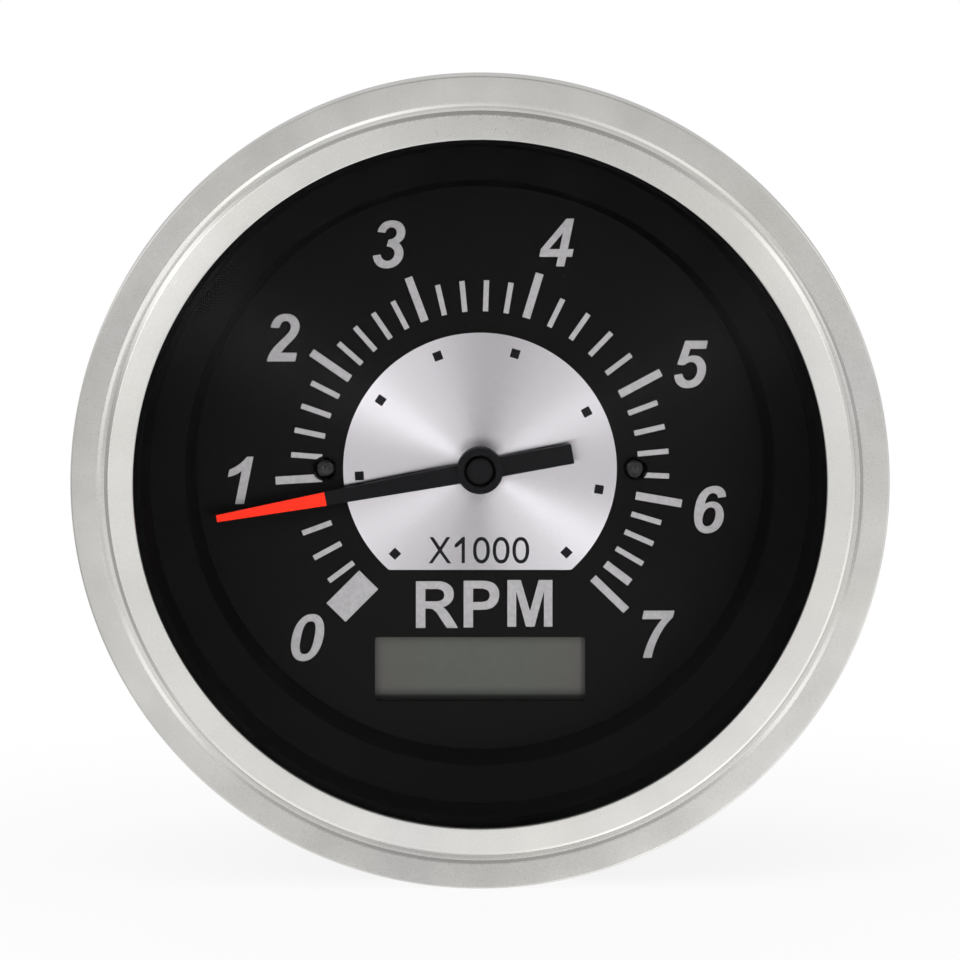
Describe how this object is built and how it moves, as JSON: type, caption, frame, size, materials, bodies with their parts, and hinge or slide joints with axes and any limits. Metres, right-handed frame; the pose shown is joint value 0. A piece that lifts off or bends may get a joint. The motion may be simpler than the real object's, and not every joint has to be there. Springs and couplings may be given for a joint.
{
  "type": "tachometer with hour meter",
  "caption": "Round panel tachometer with a stainless bezel, deep black dial, aluminium centre disc, red-tipped pointer, blank hour display and rear studs.",
  "frame": {"origin": "on the instrument axis, in the plane of the panel's front face", "axes": "+Y from the dial back through the panel, +Z to twelve o'clock, +X to the right as the dial is read"},
  "size_m": [0.096, 0.0708, 0.096],
  "materials": {
    "stainless": "satin stainless with a turned groove",
    "lens_glass": "clear flat glass",
    "rubber": "matt black rubber",
    "case_plastic": "fine moulded texture, black",
    "shroud_plastic": "matt black moulding",
    "dial_black": "matt black print",
    "spun_aluminium": "spun in fine circles",
    "scale_ink": "grey screen print",
    "square_ink": "black screen print",
    "black_screw": "blackened steel",
    "guide_acrylic": "clear acrylic",
    "pointer_black": "matt black moulding",
    "pointer_red": "red print",
    "steel": "bright steel",
    "magnet": "sintered ferrite",
    "frame_plastic": "ivory moulding",
    "bobbin_plastic": "tan moulding",
    "winding": "enamelled copper wire",
    "brass": "bright brass",
    "board": "green solder mask",
    "display": "unpowered reflective display",
    "white_plastic": "white moulding",
    "strip": "elastic connector",
    "lamp": "lamp package",
    "chip": "black package",
    "capacitor_can": "drawn aluminium",
    "switch_plastic": "blue moulding"
  },
  "bodies": {
    "instrument": {"bezel": "stainless", "lens": "lens_glass", "lens_gasket": "rubber", "panel_gasket": "rubber", "case": "case_plastic", "shroud_ring": "shroud_plastic", "dial": "dial_black", "dial_disc": "spun_aluminium", "scale_marks": "scale_ink", "disc_marks": "square_ink", "dial_screws": "black_screw", "light_guide": "guide_acrylic", "movement_can": "steel", "board_screws": "steel", "terminal_washers": "steel", "mounting_studs": "steel", "movement_frame": "frame_plastic", "bobbin_top": "bobbin_plastic", "bobbin_base": "bobbin_plastic", "inner_coil": "winding", "outer_coil": "winding", "coil_pins": "brass", "terminal_studs": "brass", "terminal_nuts": "brass", "circuit_board": "board", "display_glass": "display", "display_holder": "white_plastic", "contact_strips": "strip", "backlight_lamps": "lamp", "microcontroller": "chip", "regulator": "chip", "capacitor": "capacitor_can", "selector_switch": "switch_plastic"},
    "pointer": {"pointer": "pointer_black", "pointer_tip": "pointer_red", "pointer_shaft": "steel", "rotor_magnet": "magnet"},
    "selector": {"selector_knob": "white_plastic"}
  },
  "joints": [
    {"name": "pointer_turn", "type": "hinge", "parent": "instrument", "child": "pointer", "pos_m": [0, 0.0065, 0], "axis": [0, 1, 0], "range_deg": [-34.8, 234.7]},
    {"name": "selector_turn", "type": "hinge", "parent": "instrument", "child": "selector", "pos_m": [0, 0.0425, -0.02], "axis": [0, -1, 0], "range_deg": [0, 90]}
  ]
}
